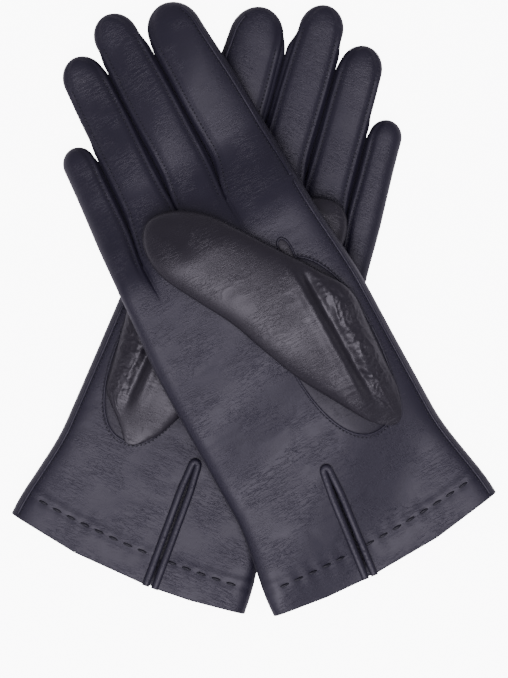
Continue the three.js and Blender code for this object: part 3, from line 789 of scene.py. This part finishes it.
silk = silk_material()
for name, glove in GLOVES.items():
    body = f"{name}_glove"
    hem = put(f"{name}_hem", *inner_tube(name, glove, **HEM), navy_nappa)
    lining = put(f"{name}_silk", *inner_tube(name, glove, **SILK), silk)
    roll = []
    for finger, spec in FINGERS.items():
        for back in (False, True):
            flat = column_surface(tranks[name]["rows"][finger], spec["column"], back, ROLL_INSET)[0]
            flat = flat[(np.diff(flat, axis=0, prepend=flat[:1] - 1) ** 2).sum(1) > 1e-4]
            path = lay(glove, *flat.T)
            up = np.zeros_like(path) + (0, 0, -1.0 if back else 1.0)
            roll.append(swept(path, up, ellipse(ROLL_WIDTH, ROLL_WIDTH)))
    edge_roll = put_bodies(f"{name}_cuff_roll", roll, navy_nappa)
    for piece, slot, node_name in ((hem, "navy_leather", "turned_hem"), (lining, "silk_lining", "lining")):
        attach(piece, body)
        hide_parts(f"{name}_{node_name}")
    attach(edge_roll, body)
    for run_name, low, high in (("little_side", -7, -2), ("thumb_side", -1, 7.5)):
        u = np.linspace(low, high, 120) * STITCH_PITCH
        path, up = on_skin(name, glove, u, hem_line(u))
        run = thread_run(path, eased(up, 4), **RUNNING_STITCH)
        stitches = put_bodies(f"{name}_running_stitch_{run_name}", [run], thread)
        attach(stitches, body)
        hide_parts(f"{name}_hem_stitch_{run_name}")

# ---- Slit bindings ----
# The palm's slit is bound with one rolled strip of nappa, up one edge, round the top and down the other, a
# little past the cuff edge. Fine stitches hold it along its outer side.
BINDING_WIDTH, BINDING_HEIGHT, BINDING_OUT, BINDING_PAST = 3.0, 2.1, 1.35, 4.2
BINDING_STITCH = dict(pitch=SEAM_PITCH, length=1.25, width=0.55, lift=0.16, rings=4)
for name, glove in GLOVES.items():
    foot, top = np.array(glove["slit"])
    rise = (top - foot) / np.hypot(*(top - foot))
    aside = np.array([rise[1], -rise[0]])
    v = np.linspace(-BINDING_PAST, top[1], 90)
    line = foot + (v / top[1])[:, None] * (top - foot)
    out = slit_half(v, top[1]) + BINDING_OUT
    turn = np.linspace(np.pi, 0, 16)[1:-1, None]
    arc = top + BINDING_OUT * (np.cos(turn) * aside + 1.3 * np.sin(turn) * rise)
    course = np.concatenate([line - out[:, None] * aside, arc, (line + out[:, None] * aside)[::-1]])
    path, up = on_skin(name, glove, *course.T)
    path, up = eased(path, 3), eased(up, 6)
    strip = swept(path, up, ellipse(BINDING_WIDTH, BINDING_HEIGHT, 0.45, 12))
    binding = put_bodies(f"{name}_binding", [strip], navy_nappa)
    across, above = frames(path, up)
    outer = path - across * 0.95 * MM + above * 0.95 * MM
    stitches = put_bodies(f"{name}_binding_stitches", [thread_run(outer, above, **BINDING_STITCH)], thread)
    for piece in (binding, stitches):
        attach(piece, f"{name}_glove")
    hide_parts(f"{name}_slit_binding")

# ---- Thumb roots ----
# The oval piece that the thumb grows from, sewn into the palm, with a small loop-shaped gusset above it. The
# gusset has the thumb's skin, glossier and darker than the trank, and the oval a semi-gloss nappa a little
# darker than the trank.
thumb_nappa = leather_material("thumb nappa, glossy", "#17151b", "#221f26", 0.4, 0.35, 0.08)
root_nappa = leather_material("thumb root nappa, semi-gloss", "#12101a", "#1a1823", 0.52, 0.3)
ROOT_CENTRE, ROOT_HALF, ROOT_POWER = (21.4, 86.0), (18.2, 39.3), 2.2
ROOT_STITCH = dict(pitch=SEAM_PITCH, length=1.25, width=0.5, lift=0.16, rings=4)
PAD_LEATHER = 0.3
LOOP_FOOT = 23.6, 122.0
LOOP_U = 21.4, 21.5, 22.4, 24.4, 26.2, 26.5, 25.6
LOOP_V = 122.5, 128.5, 132.6, 133.9, 131.8, 127.5, 122.0


def root_oval(angle, share):
    """Points on a superellipse about the root's centre: half sizes times |cos|^(2/p) and |sin|^(2/p)."""
    c, s = np.cos(angle), np.sin(angle)
    u = ROOT_CENTRE[0] + share * ROOT_HALF[0] * np.sign(c) * np.abs(c) ** (2 / ROOT_POWER)
    v = ROOT_CENTRE[1] + share * ROOT_HALF[1] * np.sign(s) * np.abs(s) ** (2 / ROOT_POWER)
    return u, v


def curve(x, knots, values):
    """A smooth line through values: cubic pieces whose slope at each knot is that of its neighbours."""
    knots, values = np.array(knots, float), np.array(values, float)
    slope = np.gradient(values, knots)
    i = np.clip(np.searchsorted(knots, x, side="right") - 1, 0, len(knots) - 2)
    gap = knots[i + 1] - knots[i]
    t = (x - knots[i]) / gap
    bend = gap * (slope[i] * (t**3 - 2 * t**2 + t) + slope[i + 1] * (t**3 - t**2))
    return values[i] + (values[i + 1] - values[i]) * (3 * t**2 - 2 * t**3) + bend


def pad_over(piece_name, name, glove, u, v, swell, material):
    """A thin pad on the palm's leather: its pattern points dropped onto the skin, then lifted by swell."""
    surface, _ = on_skin(name, glove, u.ravel(), v.ravel())
    points = surface + (0, 0, 1) * (np.broadcast_to(swell, u.shape).ravel() * MM)[:, None]
    first_of, faces = welded(points, grid_faces(*u.shape))
    points, pattern = points[first_of], np.stack([u, v], -1).reshape(-1, 2)[first_of]
    normals = normals_of(points, faces)
    if normals[:, 2].sum() < 0:
        faces, normals = faces[:, ::-1], -normals
    return put(piece_name, *walled(points, faces, normals, pattern, PAD_LEATHER * MM), material)


for name, glove in GLOVES.items():
    share = np.concatenate([np.linspace(0, 0.8, 10), np.linspace(0.84, 1, 10)])[:, None]
    angle = np.linspace(0, 2 * np.pi, 141)[None]
    u, v = root_oval(angle, share)
    swell = 1.05 * np.sqrt(np.clip(1 - share**12, 0, 1)) * (0.55 + 0.45 * share**2) - 0.15
    pad = pad_over(f"{name}_root_pad", name, glove, u, v, swell, root_nappa)
    path, up = on_skin(name, glove, *root_oval(angle[0], 1.0))
    seam = swept(eased(path, 1), eased(up, 2), ellipse(1.1, 0.9, 0.05))
    low, low_up = on_skin(name, glove, *root_oval(angle[0], 1.03))
    run = thread_run(low, low_up, **ROOT_STITCH)
    x = np.linspace(0, len(LOOP_U) - 1, 60)
    loop_u, loop_v = (curve(x, np.arange(len(values)), values) for values in (LOOP_U, LOOP_V))
    u, v = mix(LOOP_FOOT[0], loop_u, share), mix(LOOP_FOOT[1], loop_v, share)
    swell = 0.7 * np.sqrt(1 - share**2) + 0.05
    gusset = pad_over(f"{name}_gusset", name, glove, u, v, swell, thumb_nappa)
    loop, loop_up = on_skin(name, glove, loop_u, loop_v)
    ring = swept(eased(loop, 2), eased(loop_up, 4), ellipse(1.0, 1.1, 0.1))
    edge = put_bodies(f"{name}_root_seam", [seam, ring], navy_nappa)
    stitches = put_bodies(f"{name}_root_stitches", [run], thread)
    slots = ((pad, "thumb_leather"), (gusset, "thumb_leather"), (edge, "navy_leather"), (stitches, "thread"))
    for piece, slot in slots:
        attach(piece, f"{name}_glove")
    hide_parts(f"{name}_thumb_root")

# ---- Thumbs ----
# A flat pouch folded over the palm. Its free edges are soft rolls. A crest runs up it where the fold ends, and
# between the crest and the fold the leather is crushed into fine glossy wrinkles.
THUMB_LENGTH = 127.9
HEEL_END, TIP_START = 12.0, 104.0
HEEL_ROUND = 13.5
THUMB_TOP, THUMB_UNDER = 19.3, 11.8
# How far the low side and the folded side lie from the thumb's long line, at distances from its heel.
LOW_SIDE_AT = 0, 10, 25, 42, 60, 76, 90, 104, 128
LOW_SIDE = -6.0, -7.0, -8.8, -10.4, -10.1, -9.4, -10.6, -11.8, -13
FOLD_SIDE_AT = 0, 14, 31, 46, 63, 83, 104, 128
FOLD_SIDE = 8.0, 14.6, 23.2, 30.2, 28.4, 24.8, 21, 17


def thumb_sheet(glove, under):
    """One face of the thumb, between its side lines: height = edge + (face - edge) sqrt(1 - |s|^p)."""
    lean = np.radians(glove["thumb"]["lean"])
    along = np.array([np.sin(lean), np.cos(lean)])
    across = np.array([along[1], -along[0]])
    round_heel = HEEL_END - HEEL_ROUND * np.cos(np.linspace(0, np.pi / 2, 22))[:-1]
    round_tip = TIP_START + (THUMB_LENGTH - TIP_START) * np.sin(np.linspace(0, np.pi / 2, 30))[1:]
    t = np.concatenate([round_heel, np.linspace(HEEL_END, TIP_START, 230), round_tip])
    keep = np.sqrt(np.clip(1 - ((HEEL_END - t) / HEEL_ROUND).clip(0) ** 2, 0, 1))
    keep = keep * np.sqrt(np.clip(1 - ((t - TIP_START) / (THUMB_LENGTH - TIP_START)).clip(0) ** 2, 0, 1))
    low_side = curve(t, LOW_SIDE_AT, LOW_SIDE)
    fold_side = curve(t, FOLD_SIDE_AT, FOLD_SIDE)
    fold_side = fold_side + glove["thumb"]["bulge"] * smooth(t / 10) * (1 - smooth((t - 46) / 44))
    middle, half = (low_side + fold_side) / 2, (fold_side - low_side) / 2 * keep
    s = np.sin(np.linspace(-1, 1, 101 if not under else 31) * np.pi / 2)
    offset = middle[:, None] + half[:, None] * s
    plan = np.array(glove["thumb"]["heel"]) + t[:, None, None] * along + offset[..., None] * across
    sewn = 1 - smooth((t - 38) / 16)
    low_edge = mix(11.9, 13.8, smooth((t - 2) / 20))
    fold_edge = mix(14.6, 11.9, sewn)
    edge = mix(low_edge[:, None], fold_edge[:, None], (s + 1) / 2)
    top = mix(12.6, THUMB_TOP, smooth((t + 2) / 30))[:, None]
    face = np.full_like(edge, THUMB_UNDER) if under else np.broadcast_to(top, edge.shape)
    round_off = np.sqrt(np.clip(1 - np.abs(s) ** (2.9 if not under else 3.5), 0, 1)) * np.sqrt(keep)[:, None]
    height = edge + (face - edge) * round_off
    inside = np.sqrt(np.clip(1 - s**2, 0, 1)) * keep[:, None]
    return np.concatenate([plan, height[..., None]], -1), inside


def ridged(u, v, seed):
    """Sharp creases from 0 to 1: one minus the size of a noise."""
    return 1 - np.abs(noise(u, v, seed))


def thumb_relief(u, v, seed):
    """Millimetres above the smooth thumb: soft waves, the crest and its valley, and crushed wrinkles."""
    waves = 0.16 * noise(u / 15, v / 21, seed) + 0.08 * noise(u / 6, v / 9, seed + 1)
    band = smooth((v - 54) / 16) * (1 - smooth((v - 112) / 14))
    crest = 0.9 * np.exp(-(((u - 22.0) / 2.4) ** 2)) - 1.7 * np.exp(-(((u - 26.6) / 2.4) ** 2))
    bent = 0.7 * noise(u / 6, v / 6, seed + 2)
    crushed = 0.3 * ridged(u / 1.8 + bent, v / 5 + bent, seed + 3) ** 2
    crushed = crushed + 0.28 * ridged((u + v) / 2.0 + bent, (v - u) / 2.6, seed + 4) ** 3
    where = smooth((u - 25.5) / 3.5) * smooth((v - 46) / 10) * (1 - smooth((v - 110) / 12))
    light = 0.12 * ridged(u / 5 + bent, v / 3.2, seed + 5) ** 4 * smooth(noise(u / 14, v / 14, seed + 6) + 0.4)
    return waves + crest * band + crushed * where + light


for name, glove in GLOVES.items():
    parts, count = [], 0
    for under in (False, True):
        grid, inside = thumb_sheet(glove, under)
        flat = grid.reshape(-1, 3)
        quads = grid_faces(*grid.shape[:2], flip=(under != (glove["side"] < 0)))
        parts.append((flat, quads + count, inside.ravel() * (0.0 if under else 1.0)))
        count += len(flat)
    flat = np.concatenate([p[0] for p in parts])
    placed = lay(glove, *flat.T)
    first_of, faces = welded(placed, np.concatenate([p[1] for p in parts]))
    placed, flat = placed[first_of], flat[first_of]
    inside = np.concatenate([p[2] for p in parts])[first_of]
    faces = outward(placed, faces)
    normals = normals_of(placed, faces)
    relief = thumb_relief(flat[:, 0], flat[:, 1], glove["seed"] + 70) * np.clip(inside * 1.4, 0, 1)
    placed = placed + normals * (relief * MM)[:, None]
    thumb = put(f"{name}_thumb_pouch", placed, faces, normals_of(placed, faces), flat[:, :2], thumb_nappa)
    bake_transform(thumb)
    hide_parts(f"{name}_thumb")

# ---- Stage ----
# A pale paper sweep, one broad soft light overhead and a softer one from the left.
FLOOR_HALF, FLOOR_HEIGHT, PAPER_GLOW = 3.0, -0.0004, 9.0
around = ((-1, -1), (1, -1), (1, 1), (-1, 1))
sheet = [(x * FLOOR_HALF, y * FLOOR_HALF, FLOOR_HEIGHT) for x, y in around]
floor_mesh = bpy.data.meshes.new("floor")
floor_mesh.from_pydata(sheet, [], [(0, 1, 2, 3)])
floor = bpy.data.objects.new("floor", floor_mesh)
bpy.context.scene.collection.objects.link(floor)
paper, tree, shader = new_material("white paper sweep")
shader.inputs["Base Color"].default_value = linear("#f0f0f0")
shader.inputs["Roughness"].default_value = 0.95
# The paper glows for the camera alone, so that it looks white and doesn't light the gloves from below.
shader.inputs["Emission Color"].default_value = (1, 1, 1, 1)
seen = node(tree, "ShaderNodeLightPath").outputs["Is Camera Ray"]
glow = node(tree, "ShaderNodeMath", {0: seen, 1: PAPER_GLOW}, operation="MULTIPLY")
tree.links.new(glow.outputs[0], shader.inputs["Emission Strength"])
floor_mesh.materials.append(paper)

world = bpy.data.worlds.new("studio")
bpy.context.scene.world = world
world.use_nodes = True
world.node_tree.nodes["Background"].inputs["Color"].default_value = (1.0, 0.92, 1.12, 1)
world.node_tree.nodes["Background"].inputs["Strength"].default_value = 0.36


def soft_light(name, place, aim, size, power):
    """A square soft box of that size in metres, turned to its aim."""
    data = bpy.data.lights.new(name, "AREA")
    data.shape = "SQUARE"
    data.size = size
    data.energy = power
    data.color = (1.0, 0.93, 1.08)
    lamp = bpy.data.objects.new(name, data)
    lamp.location = place
    lamp.rotation_euler = (Vector(aim) - Vector(place)).to_track_quat("-Z", "Y").to_euler()
    bpy.context.scene.collection.objects.link(lamp)


soft_light("overhead", (0.05, -0.5, 1.25), (0, -0.05, 0), 1.0, 18)
soft_light("left", (-1.0, -0.7, 0.9), (0, 0, 0), 0.9, 3)

# ---- Camera ----
# Straight above with a long lens, aimed a little towards the cuffs.
FRAME_WIDTH, AIM_Y, DISTANCE = 0.205, -0.0117, 2.0
camera_data = bpy.data.cameras.new("camera")
camera_data.sensor_fit = "HORIZONTAL"
camera_data.sensor_width = 36
camera_data.lens = 36 * (DISTANCE - 0.02) / FRAME_WIDTH
camera_data.clip_start = 0.05
camera = bpy.data.objects.new("camera", camera_data)
camera.location = (0, AIM_Y, DISTANCE)
bpy.context.scene.collection.objects.link(camera)
bpy.context.scene.camera = camera
